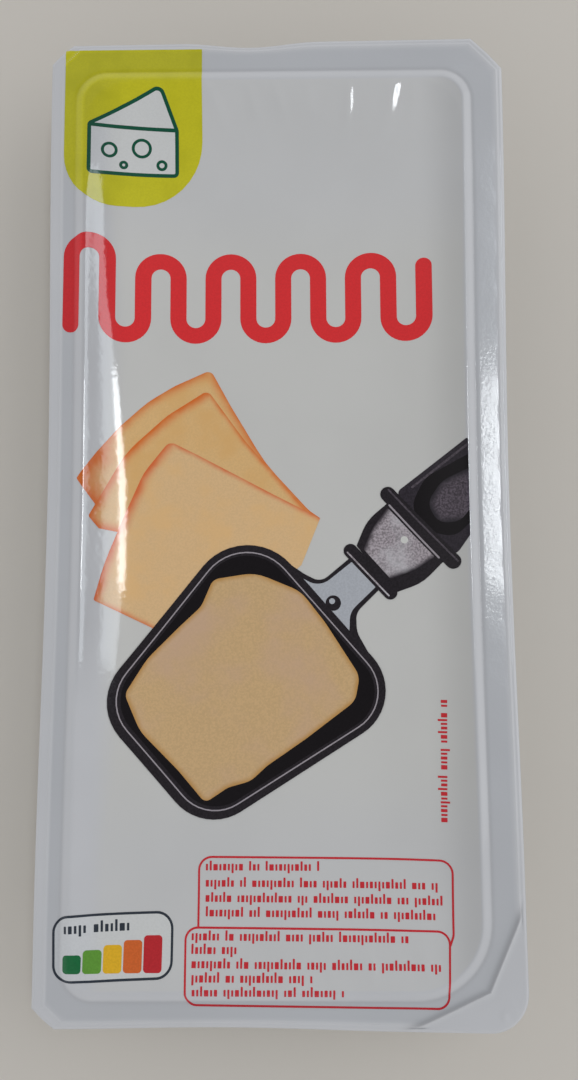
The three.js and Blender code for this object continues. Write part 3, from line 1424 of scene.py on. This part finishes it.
@dataclass
class PrintedField:
    """Figures of one ink, laid on the film as a thin skin that follows its relief."""

    name: str
    shapes: list[Shape]
    ink: Ink
    layer: int = 0
    line: float = 0.0
    rim_sides: tuple[int, ...] = ()
    rim_width: float = 3.0
    thin_sides: tuple[int, ...] = ()
    thin_width: float = 2.6
    thin_share: float = 0.8
    calm_x: Point = (-48.0, 46.0)
    calm_y: Point = (-100.0, 94.0)
    grid_end: float = 132.0
    fine_step: float = 0.4
    coarse_step: float = 1.2
    cut_snap: float = 1e-4
    first_lift: float = 0.04
    layer_lift: float = 0.015
    depth: float = 0.08

    def cuts(self, low: float, high: float, calm: Point) -> list[float]:
        """Where a figure is cut across one axis: finely near the pack's edges, and alike in every field.

        Args:
            low: Where the figure starts.
            high: Where it ends.
            calm: The stretch in the pack's middle that needs few cuts.

        Returns:
            The places of the cuts.
        """
        places = []
        place = -self.grid_end
        while place < high:
            if place > low:
                places.append(place)
            place += self.coarse_step if calm[0] < place < calm[1] else self.fine_step
        return places

    def figure(self, shape: Shape) -> bmesh.types.BMesh:
        """One flat figure, or its outline alone where the field has a line width, cut by a grid.

        Args:
            shape: The figure.

        Returns:
            Its flat faces, which look up.
        """
        flat = bmesh.new()
        face = flat.faces.new([flat.verts.new((x, y, 0)) for x, y in shape.outline()])
        flat.normal_update()
        if self.line:
            bmesh.ops.inset_region(flat, faces=[face], thickness=self.line, use_boundary=True,
                                   use_even_offset=True)
            bmesh.ops.delete(flat, geom=[face], context="FACES_ONLY")
        for axis, calm in ((0, self.calm_x), (1, self.calm_y)):
            places = [vert.co[axis] for vert in flat.verts]
            normal = Vector((axis == 0, axis == 1, 0))
            for place in self.cuts(min(places), max(places), calm):
                geometry = flat.verts[:] + flat.edges[:] + flat.faces[:]
                bmesh.ops.bisect_plane(flat, geom=geometry, dist=self.cut_snap, plane_co=normal * place,
                                       plane_no=normal)
        flat.normal_update()
        for face in flat.faces:
            if face.normal.z < 0:
                face.normal_flip()
        return flat

    def rim(self, x: float, y: float) -> float:
        """How near a place lies to the field's coloured sides, with less colour along the thin ones.

        Args:
            x: Across the pack.
            y: Along the pack.

        Returns:
            The edge colour's share, 0 to 1.
        """
        wide, thin = (min(shape.distance(x, y, sides) for shape in self.shapes)
                      for sides in (self.rim_sides, self.thin_sides))
        return max(clamp(1 - wide / self.rim_width) ** 2,
                   self.thin_share * clamp(1 - thin / self.thin_width) ** 2)

    def build(self, film: LiddingFilm) -> bpy.types.Object:
        """Make the field and lay it on the film.

        Args:
            film: The film that carries it.

        Returns:
            The printed field.
        """
        whole = bmesh.new()
        for shape in self.shapes:
            flat = self.figure(shape)
            part = bpy.data.meshes.new("part")
            flat.to_mesh(part)
            flat.free()
            whole.from_mesh(part)
            bpy.data.meshes.remove(part)
        bmesh.ops.solidify(whole, geom=whole.faces[:], thickness=self.depth)
        bmesh.ops.recalc_face_normals(whole, faces=whole.faces)
        heights = [vert.co.z for vert in whole.verts]
        middle = (min(heights) + max(heights)) / 2
        lift = self.first_lift + self.layer * self.layer_lift
        for vert in whole.verts:
            above = lift if vert.co.z > middle else -self.depth
            vert.co.z = film.surface(vert.co.x, vert.co.y) + above
        sharpen(whole)
        piece = finish_piece(self.name, whole, self.ink.material())
        shade_by(piece.data, film.normal)
        add_attributes(piece.data, TONES, film.tones)
        if self.rim_sides:
            add_attributes(piece.data, ("rim",), lambda x, y: (self.rim(x, y),))
        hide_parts(FILM_NODE)
        return piece


WHITE_FILM = GlossFilm("film_white", linear(208, 207, 204))
FIELD_GREEN = Ink("ink_leaf_green", linear(208, 201, 36), patch=linear(194, 188, 30), patch_size=8.0,
                  grain=0.06)
LINE_GREEN = Ink("ink_dark_green", linear(12, 84, 60))
MARK_WHITE = Ink("ink_white", linear(216, 216, 212), grain=0.04)
RED = Ink("ink_red", linear(230, 50, 54), grain=0.07)
BOX_RED = Ink("ink_box_red", linear(212, 50, 58))
SLICE = Ink("ink_cheese", linear(230, 192, 143), edge=linear(222, 110, 62), patch=linear(234, 190, 132),
            grain=0.06)
BACK_SLICE = Ink("ink_cheese_behind", linear(230, 188, 130), edge=linear(222, 112, 46),
                 patch=linear(226, 178, 114), grain=0.06)
BLACK = Ink("ink_black", linear(42, 37, 42), grain=0.35)
WELL_BLACK = Ink("ink_well_black", linear(20, 15, 19), grain=0.2)
LIGHT_LINE = Ink("ink_pale_line", linear(168, 160, 166))
MELTED = Ink("ink_melted", linear(214, 179, 132), edge=linear(194, 148, 88), patch=linear(206, 172, 146),
             patch_size=17.0)
STEEL = Ink("ink_steel", linear(184, 187, 194), grain=0.1)
PANEL_GREY = Ink("ink_panel_grey", linear(184, 174, 180), edge=linear(58, 52, 58),
                 patch=linear(206, 204, 208), grain=0.5)
GRIP_BLACK = Ink("ink_grip_black", linear(54, 48, 56), grain=0.35)
GRIP_SHINE = Ink("ink_grip_shine", linear(92, 84, 92), grain=0.4)
GRIP_GREY = Ink("ink_grip_grey", linear(104, 94, 104), edge=linear(46, 42, 48), grain=0.6)
SCORE_GREEN = Ink("ink_score_green", linear(30, 112, 62))
SCORE_LEAF = Ink("ink_score_leaf", linear(104, 160, 60))
SCORE_YELLOW = Ink("ink_score_yellow", linear(238, 186, 44))
SCORE_ORANGE = Ink("ink_score_orange", linear(222, 108, 50))
SCORE_RED = Ink("ink_score_red", linear(198, 46, 52))
SLATE = Ink("ink_slate", linear(54, 60, 68))


@dataclass
class TopMark:
    """The yellow-green field at the top left, with a plain cheese wedge in it."""

    left: float = -57.3
    right: float = -20.2
    top: float = 126.6
    bottom: float = 83.0
    line: float = 1.0
    hole_line: float = 0.8

    def build(self, film: LiddingFilm) -> list[bpy.types.Object]:
        """Make the field and the wedge.

        Args:
            film: The film that carries them.

        Returns:
            The printed fields.
        """
        ground = Shape(((self.right, self.bottom, 20), (self.right, self.top, 0.2),
                        (self.left, self.top, 0.2), (self.left, self.bottom, 14)))
        tip, heel, foot = (-51.0, 106.0), (-26.6, 104.4), 91.6
        wedge = Shape(((heel[0], foot, 1.4), (*heel, 1.2), (-31.2, 116.8, 2.2), (*tip, 1.6),
                       (tip[0], foot, 1.4)))
        fold = ribbon([(tip[0] + 0.5, tip[1] - 0.6), (heel[0] - 0.5, heel[1])], self.line)
        holes = [disc(-45.2, 98.6, 2.2), disc(-36.6, 99.4, 2.7), disc(-31.2, 94.9, 1.5),
                 disc(-41.4, 94.6, 1.2)]
        fields = [
            PrintedField("print_top_field", [ground], FIELD_GREEN),
            PrintedField("print_wedge_ground", [wedge], MARK_WHITE, layer=1),
            PrintedField("print_wedge_edge", [wedge], LINE_GREEN, layer=2, line=self.line),
            PrintedField("print_wedge_fold", [fold], LINE_GREEN, layer=3),
            PrintedField("print_wedge_holes", holes, LINE_GREEN, layer=2, line=self.hole_line),
        ]
        return [item.build(film) for item in fields]


@dataclass
class HeatBand:
    """The bold red band across the upper half: one stroke that runs up and down like a heating coil."""

    left: float = -54.6
    pitch: float = 9.36
    low: float = 47.6
    high: float = 68.0
    first_high: float = 73.0
    stroke: float = 4.3
    passes: int = 11
    high_passes: int = 2

    def path(self) -> list[Point]:
        """The middle of the stroke.

        Returns:
            Its bends, from the left.
        """
        places: list[Point] = []
        for number in range(self.passes):
            x = self.left + number * self.pitch
            top = self.first_high if number < self.high_passes else self.high
            ends = [(x, self.low), (x, top)]
            places += ends[::-1] if number % 2 else ends
        return places

    def build(self, film: LiddingFilm) -> list[bpy.types.Object]:
        """Make the band."""
        shape = ribbon(self.path(), self.stroke, self.pitch / 2)
        return [PrintedField("print_heat_band", [shape], RED).build(film)]


@dataclass
class Slices:
    """Three overlapping slices of cheese with an orange rind along their outer sides."""

    rind: float = 5.4
    thin_rind: float = 3.0
    tip_rind: float = 13.0

    def build(self, film: LiddingFilm) -> list[bpy.types.Object]:
        """Make the slices, the rearmost first.

        Args:
            film: The film that carries them.

        Returns:
            The printed fields.
        """
        back = Shape(((11.0, -1.7, 0.4), (8.0, 0.4, 8), (-3.4, 13.0, 40), (-12.6, 28.6, 40),
                      (-17.8, 38.2, 1.8), (-27.3, 33.9, 20), (-34.4, 29.4, 25), (-41.6, 22.6, 25),
                      (-47.2, 15.7, 25), (-52.2, 8.6, 0.5), (-46.0, 0.0, 0.6), (6.0, -14.0, 0.6)))
        second = Shape(((10.5, -2.2, 0.4), (7.4, 0.2, 6), (-8.6, 18.8, 40), (-18.6, 32.7, 1.8),
                        (-29.2, 25.9, 20), (-39.8, 15.9, 25), (-49.0, -1.2, 0.8), (-46.4, -4.4, 0.6),
                        (6.0, -14.0, 0.6)))
        front = Shape(((11.0, -1.7, 0.5), (-1.2, 4.6, 60), (-20.7, 15.0, 40), (-28.6, 19.0, 2.2),
                       (-35.3, 10.4, 16), (-39.9, -0.5, 40), (-44.9, -13.4, 60), (-47.4, -23.0, 0.6),
                       (-20.0, -36.2, 0.6), (6.0, -14.0, 0.5)))
        fields = [
            PrintedField("print_slice_back", [back], BACK_SLICE, 0, rim_sides=(8, 9), rim_width=self.tip_rind,
                         thin_sides=tuple(range(8)), thin_width=self.rind),
            PrintedField("print_slice_second", [second], BACK_SLICE, 1, rim_sides=(3, 4, 5, 6, 7),
                         rim_width=self.rind, thin_sides=(0, 1, 2), thin_width=self.thin_rind),
            PrintedField("print_slice_front", [front], SLICE, 2, rim_sides=(3, 4, 5, 6),
                         rim_width=self.rind, thin_sides=(0, 1, 2, 7), thin_width=self.thin_rind),
        ]
        return [item.build(film) for item in fields]


@dataclass
class Pan:
    """The small raclette pan with melted cheese: rim, well, neck, ferrule and grip, as plain fields."""

    middle: Point = (-10.3, -45.3)
    corners: tuple[tuple[float, float, float], ...] = (
        (-8.5, -0.3, 15.0), (-47.8, -49.3, 13.5), (-19.1, -82.5, 13.0), (34.1, -49.2, 12.8))
    rim_line_inset: float = 1.9
    rim_line: float = 0.32
    well_inset: float = 3.0
    corner_pull: float = 1.45

    def rim_shape(self, inset: float) -> Shape:
        """The pan's rounded square.

        Args:
            inset: How far in from its rim.

        Returns:
            The figure.
        """
        middle = Vector(self.middle)
        places = []
        for x, y, radius in self.corners:
            arm = Vector((x, y)) - middle
            place = middle + arm * (1 - inset * self.corner_pull / arm.length)
            places.append((place.x, place.y, radius - inset))
        return Shape(tuple(places))

    @staticmethod
    def neck() -> list[PrintedField]:
        """The neck that joins the rim, with the hole in it.

        Returns:
            The printed fields, before they are made.
        """
        flare = Shape(((0.4, -11.9, 0.3), (6.6, -16.2, 7), (11.0, -18.5, 3.5), (18.6, -12.2, 0.3),
                       (26.0, -20.6, 0.3), (20.1, -26.4, 4), (20.2, -31.4, 7), (24.2, -38.6, 0.3),
                       (10.0, -32.0, 0.3)))
        light = Shape(((4.6, -16.4, 0.3), (10.6, -19.9, 5), (19.4, -13.0, 0.3), (25.2, -19.8, 0.3),
                       (18.5, -26.2, 5), (18.2, -33.4, 0.3), (10.0, -30.0, 0.3)))
        return [
            PrintedField("print_pan_flare", [flare], BLACK, 3),
            PrintedField("print_pan_neck", [light], STEEL, 4),
            PrintedField("print_pan_hole", [disc(14.2, -23.9, 2.0)], BLACK, 5),
            PrintedField("print_pan_hole_light", [disc(13.9, -23.4, 0.75)], STEEL, 6),
        ]

    def bowl(self) -> list[PrintedField]:
        """The rim, the well and the melted cheese in it.

        Returns:
            The printed fields, before they are made.
        """
        cheese = Shape(((-17.0, -17.6, 3), (-6.0, -15.9, 12), (5.8, -20.8, 10), (12.0, -28.8, 30),
                        (20.8, -42.6, 5), (19.6, -49.0, 5), (7.0, -58.4, 20), (-3.0, -65.2, 8),
                        (-7.2, -69.0, 6), (-13.0, -70.6, 5), (-18.8, -74.4, 1.8), (-25.6, -66.4, 20),
                        (-35.4, -56.4, 12), (-39.4, -47.0, 3), (-33.8, -38.0, 16), (-25.8, -30.0, 16),
                        (-20.0, -24.6, 6)))
        return [
            PrintedField("print_pan_rim", [self.rim_shape(0.0)], BLACK, 7),
            PrintedField("print_pan_line", [self.rim_shape(self.rim_line_inset)], LIGHT_LINE, 8,
                         self.rim_line),
            PrintedField("print_pan_well", [self.rim_shape(self.well_inset)], WELL_BLACK, 8),
            PrintedField("print_melted_cheese", [cheese], MELTED, 9,
                         rim_sides=tuple(range(len(cheese.corners))), rim_width=2.6),
        ]

    @staticmethod
    def handle() -> list[PrintedField]:
        """The grip, its thumb rest, the ferrule, its collars and its rivet.

        Returns:
            The printed fields, before they are made.
        """
        grip = Shape(((31.0, 5.0, 1.5), (49.3, 18.8, 0.3), (49.3, -6.8, 0.3), (46.2, -11.2, 2.5),
                      (41.0, -12.6, 1.5)))
        rest_edge = Shape(((49.3, -3.6, 0.3), (45.6, -7.2, 8), (38.2, -5.4, 8), (34.7, 1.2, 5),
                           (38.2, 8.6, 8), (49.3, 14.3, 0.3)))
        rest = Shape(((49.3, -0.2, 0.3), (46.9, -3.2, 5), (41.4, -3.5, 4), (38.8, 2.0, 4), (42.6, 7.6, 7),
                      (49.3, 10.6, 0.3)))
        ferrule = Shape(((29.2, 2.6, 1), (23.2, -2.4, 12), (20.4, -9.0, 0.5), (30.0, -21.4, 0.5),
                         (37.2, -18.9, 12), (43.0, -13.0, 1)))
        panel = Shape(((28.6, 0.9, 0.4), (24.6, -4.4, 12), (22.2, -9.9, 0.6), (29.1, -17.7, 0.6),
                       (35.6, -15.4, 12), (40.4, -12.2, 0.4)))
        collar_line = ribbon([(28.9, 1.7), (41.6, -12.6)], 0.45)
        collar_shine = ribbon([(17.9, -10.6), (28.7, -22.2)], 0.4)
        shine = [ribbon([(34.8, 6.0), (49.2, 16.9)], 0.6), ribbon([(28.7, 5.8), (46.3, -13.6)], 0.45)]
        return [
            PrintedField("print_grip", [grip], GRIP_BLACK, 1),
            PrintedField("print_thumb_rest_edge", [rest_edge], WELL_BLACK, 2),
            PrintedField("print_thumb_rest", [rest], GRIP_GREY, 3, rim_sides=(1, 2, 3, 4), rim_width=4.2),
            PrintedField("print_ferrule", [ferrule], BLACK, 3),
            PrintedField("print_ferrule_panel", [panel], PANEL_GREY, 4, rim_sides=(0, 1, 3, 4),
                         rim_width=2.8),
            PrintedField("print_small_collar", [ribbon([(17.6, -9.0), (30.2, -22.6)], 3.6)], BLACK, 6),
            PrintedField("print_big_collar", [ribbon([(27.4, 5.9), (46.3, -14.9)], 3.9)], BLACK, 5),
            PrintedField("print_collar_line", [collar_line], LIGHT_LINE, 6),
            PrintedField("print_grip_shine", shine, GRIP_SHINE, 7),
            PrintedField("print_small_collar_shine", [collar_shine], PANEL_GREY, 7),
            PrintedField("print_rivet", [disc(32.8, -7.6, 0.95)], MARK_WHITE, 5),
        ]

    def build(self, film: LiddingFilm) -> list[bpy.types.Object]:
        """Make the pan, from the neck to the grip."""
        return [item.build(film) for item in self.neck() + self.bowl() + self.handle()]


@dataclass(frozen=True)
class Stroke:
    """One short upright mark of a row: its width, its height and how far it starts above the row's foot."""

    width: float
    height: float
    foot: float = 0.0


@dataclass
class SmallPrint:
    """The red boxes with rows of plain marks, the upright row and the score at the bottom."""

    line: float = 0.5
    row_scale: float = 1.27
    gap: float = 0.34
    word_gap: float = 1.25
    stroke_tip: float = 0.12
    words: tuple[int, ...] = (9, 3, 11, 5, 7, 2, 10, 4, 6, 13, 3, 8)
    strokes: tuple[Stroke, ...] = (
        Stroke(0.4, 1.25), Stroke(0.4, 1.85), Stroke(0.85, 1.2), Stroke(0.4, 1.2), Stroke(0.6, 1.25),
        Stroke(0.4, 1.25), Stroke(0.4, 1.8, -0.5), Stroke(0.4, 1.2), Stroke(0.75, 1.25), Stroke(0.4, 1.8),
        Stroke(0.55, 1.2))
    score_base: float = -114.8
    score_pitch: float = 4.95
    score_bar: float = 4.55
    score_left: float = -53.4
    score_low: float = 4.4
    score_step: float = 1.05
    score_scale: float = 1.5

    def row(self, start: Point, end: Point, skip: int, scale: float = 1.0) -> list[Shape]:
        """Upright marks in groups along a line, as dense as small print but not letters.

        Args:
            start: Where the foot of the row starts.
            end: Where it ends at the latest.
            skip: Which mark of the pattern comes first.
            scale: Size of the marks.

        Returns:
            The marks.
        """
        run = Vector(end) - Vector(start)
        heading = run.normalized()
        upright = Vector((-heading.y, heading.x))
        marks: list[Shape] = []
        place, word = 0.0, skip
        while place < run.length:
            for _ in range(self.words[word % len(self.words)]):
                stroke = self.strokes[(len(marks) + skip) % len(self.strokes)]
                width = stroke.width * scale
                if place + width > run.length:
                    break
                foot = Vector(start) + heading * (place + width / 2) + upright * stroke.foot * scale
                top = foot + upright * stroke.height * scale
                marks.append(ribbon([tuple(foot), tuple(top)], width, tip=self.stroke_tip))
                place += width + self.gap * scale
            place += (self.word_gap - self.gap) * scale
            word += 1
        return marks

    def boxes(self) -> list[PrintedField]:
        """The two boxes and their rows.

        Returns:
            The printed fields, before they are made.
        """
        upper = ribbon([(-20.2, -104.3), (-20.2, -87.7), (43.2, -88.4), (43.0, -106.2), (42.1, -108.6)],
                       self.line, 3.2, 0.1)
        lower = Shape(((41.7, -123.5, 3.2), (42.4, -105.1, 3.2), (-23.6, -104.2, 3.2), (-23.4, -122.5, 3.2)))
        ends = (((-18.5, -91.0), (10.4, -91.2)), ((-18.5, -94.9), (39.7, -95.5)),
                ((-18.5, -98.5), (41.4, -99.2)), ((-18.4, -101.9), (40.6, -102.7)),
                ((-21.8, -107.4), (32.8, -108.1)), ((-21.8, -110.5), (-10.4, -110.6)),
                ((-21.7, -113.7), (40.3, -114.5)), ((-21.6, -116.9), (8.2, -117.1)),
                ((-21.5, -120.1), (17.1, -120.4)))
        rows = [mark for number, (start, end) in enumerate(ends)
                for mark in self.row(start, end, 4 * number, self.row_scale)]
        upright = self.row((42.2, -79.0), (42.8, -46.8), 2, self.row_scale)
        return [
            PrintedField("print_lower_box", [lower], BOX_RED, 0, self.line),
            PrintedField("print_upper_box", [upper], BOX_RED, 1),
            PrintedField("print_rows", rows, BOX_RED),
            PrintedField("print_upright_row", upright, BOX_RED),
        ]

    def score(self) -> list[PrintedField]:
        """The score: a rounded box with five bars that rise from green to red.

        Returns:
            The printed fields, before they are made.
        """
        box = Shape(((-26.3, -116.2, 4.2), (-26.4, -100.5, 4.2), (-56.2, -101.0, 4.2), (-55.9, -117.2, 4.2)))
        caption = self.row((-53.2, -105.4), (-36.6, -105.0), 3, self.score_scale)
        fields = [
            PrintedField("print_score_ground", [box], MARK_WHITE),
            PrintedField("print_score_line", [box], SLATE, 1, 0.6),
            PrintedField("print_score_caption", caption, SLATE, 1),
        ]
        for number, ink in enumerate((SCORE_GREEN, SCORE_LEAF, SCORE_YELLOW, SCORE_ORANGE, SCORE_RED)):
            left = self.score_left + self.score_pitch * number
            top = self.score_base + self.score_low + self.score_step * number
            bar = plate(left, self.score_base, left + self.score_bar, top, 0.9)
            fields.append(PrintedField(f"print_score_bar_{number + 1}", [bar], ink, 2))
        return fields

    def build(self, film: LiddingFilm) -> list[bpy.types.Object]:
        """Make the boxes, the rows and the score."""
        return [item.build(film) for item in self.boxes() + self.score()]


@dataclass(frozen=True)
class Panel:
    """A flat light at a place in metres, aimed at a point, with the brightness of its face."""

    name: str
    place: Place
    aim: Place
    size: Point
    radiance: float
    colour: Colour = (1, 1, 1)

    def build(self) -> bpy.types.Object:
        """Hang the light.

        Returns:
            The light.
        """
        data = bpy.data.lights.new(self.name, "AREA")
        data.shape = "RECTANGLE"
        data.size, data.size_y = self.size
        data.energy = self.radiance * math.pi * self.size[0] * self.size[1]
        data.color = self.colour
        light = bpy.data.objects.new(self.name, data)
        direction = Vector(self.aim) - Vector(self.place)
        turn = direction.to_track_quat("-Z", "Y").to_matrix().to_4x4()
        light.matrix_world = Matrix.Translation(self.place) @ turn
        bpy.context.scene.collection.objects.link(light)
        return light


@dataclass
class Studio:
    """A plain pale floor, soft light and the camera, which is placed in millimetres."""

    camera_place: Place = (5.44, -35.92, 279.95)
    view: Place = (-0.0101, 0.1093, -0.9940)
    up: Place = (0.0057, 0.9940, 0.1092)
    frame_height: float = 36.0
    focal_share: float = 1000 / 1080
    clip_start: float = 10.0
    floor_colour: Colour = linear(214, 208, 200)
    floor_half: float = 3000.0
    floor_roughness: float = 0.7
    floor_specular: float = 0.2
    sky_colour: Colour = (0.98, 0.99, 1.0)
    sky_low: float = 0.96
    sky_high: float = 0.15
    panels: tuple[Panel, ...] = (
        Panel("ceiling_lamp", (0.685, 0.515, 2.99), (0.685, 0.515, 0), (0.17, 0.73), 16, (0.93, 0.97, 1)),
        Panel("pale_ceiling", (0.86, 0.785, 3.0), (0.86, 0.785, 0), (0.32, 1.75), 4.2, (0.86, 0.94, 1)),
        Panel("side_light", (2.2, 0.7, 1.7), (0, 0, 0), (2.6, 2.6), 0.6),
    )

    def floor(self) -> bpy.types.Object:
        """The floor under the pack.

        Returns:
            The floor.
        """
        shape = bmesh.new()
        bmesh.ops.create_grid(shape, x_segments=4, y_segments=4, size=self.floor_half)
        recipe = Recipe("studio_floor")
        colour = recipe.mix(recipe.noise(180.0, 2.0), tinted(self.floor_colour, 0.985), self.floor_colour)
        fine = recipe.bump(recipe.noise(3.0), 0.01)
        material = recipe.done(colour, fine, self.floor_roughness, self.floor_specular)
        bmesh.ops.transform(shape, matrix=Matrix.Scale(MM, 4), verts=shape.verts)
        mesh = bpy.data.meshes.new("studio_floor")
        shape.to_mesh(mesh)
        shape.free()
        mesh.materials.append(material)
        floor = bpy.data.objects.new("studio_floor", mesh)
        bpy.context.scene.collection.objects.link(floor)
        return floor

    def camera(self) -> bpy.types.Object:
        """The camera, where the photograph was taken from.

        Returns:
            The camera.
        """
        data = bpy.data.cameras.new("camera")
        data.sensor_fit = "VERTICAL"
        data.sensor_height = self.frame_height
        data.lens = self.frame_height * self.focal_share
        data.clip_start = self.clip_start * MM
        camera = bpy.data.objects.new("camera", data)
        back = -Vector(self.view).normalized()
        right = Vector(self.up).cross(back).normalized()
        up = back.cross(right)
        turn = Matrix((right, up, back)).transposed().to_4x4()
        camera.matrix_world = Matrix.Translation(Vector(self.camera_place) * MM) @ turn
        bpy.context.scene.collection.objects.link(camera)
        bpy.context.scene.camera = camera
        return camera

    def sky(self) -> None:
        """A pale surrounding, bright low down and dim straight above."""
        world = bpy.data.worlds.new("studio_world")
        world.use_nodes = True
        tree = world.node_tree
        background = tree.nodes["Background"]
        background.inputs["Color"].default_value = (*self.sky_colour, 1)
        place = tree.nodes.new("ShaderNodeTexCoord")
        apart = tree.nodes.new("ShaderNodeSeparateXYZ")
        squared = tree.nodes.new("ShaderNodeMath")
        squared.operation = "POWER"
        squared.inputs[1].default_value = 2
        spread = tree.nodes.new("ShaderNodeMapRange")
        spread.inputs["To Min"].default_value = self.sky_low
        spread.inputs["To Max"].default_value = self.sky_high
        tree.links.new(place.outputs["Generated"], apart.inputs[0])
        tree.links.new(apart.outputs["Z"], squared.inputs[0])
        tree.links.new(squared.outputs[0], spread.inputs["Value"])
        tree.links.new(spread.outputs["Result"], background.inputs["Strength"])
        bpy.context.scene.world = world

    def build(self) -> None:
        """Set the stage."""
        self.floor()
        self.camera()
        self.sky()
        for panel in self.panels:
            panel.build()
        bpy.context.scene.view_settings.view_transform = "Standard"


def pack_sizes() -> tuple[float, float, float]:
    """Read the pack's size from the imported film.

    The ends reach past the square-cut length where they are skewed, and the peel tab rises above the band.

    Returns:
        Half the width, half the length and the band's height, in millimetres.
    """
    end_overrun, tab_overrise = 0.43, 0.78
    low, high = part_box(FILM_NODE)
    half_x = (high.x - low.x) / 2 / MM
    half_y = (high.y - low.y) / 2 / MM - end_overrun
    return half_x, half_y, high.z / MM - tab_overrise


def main() -> None:
    """Build the pack, piece by piece, and report each one."""
    logging.basicConfig(level=logging.INFO, format="%(message)s")
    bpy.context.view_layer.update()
    half_x, half_y, level = pack_sizes()
    film = LiddingFilm(Relief(half_x, half_y, level), Warp(half_x, half_y))
    pieces = [film.build(WHITE_FILM), TrayShell(film).build(TrayPlastic())]
    for part in (TopMark(), HeatBand(), Slices(), Pan(), SmallPrint()):
        pieces += part.build(film)
    Studio().build()
    for piece in pieces:
        LOG.info("%s: %d faces", piece.name, len(piece.data.polygons))


if __name__ == "__main__":
    main()
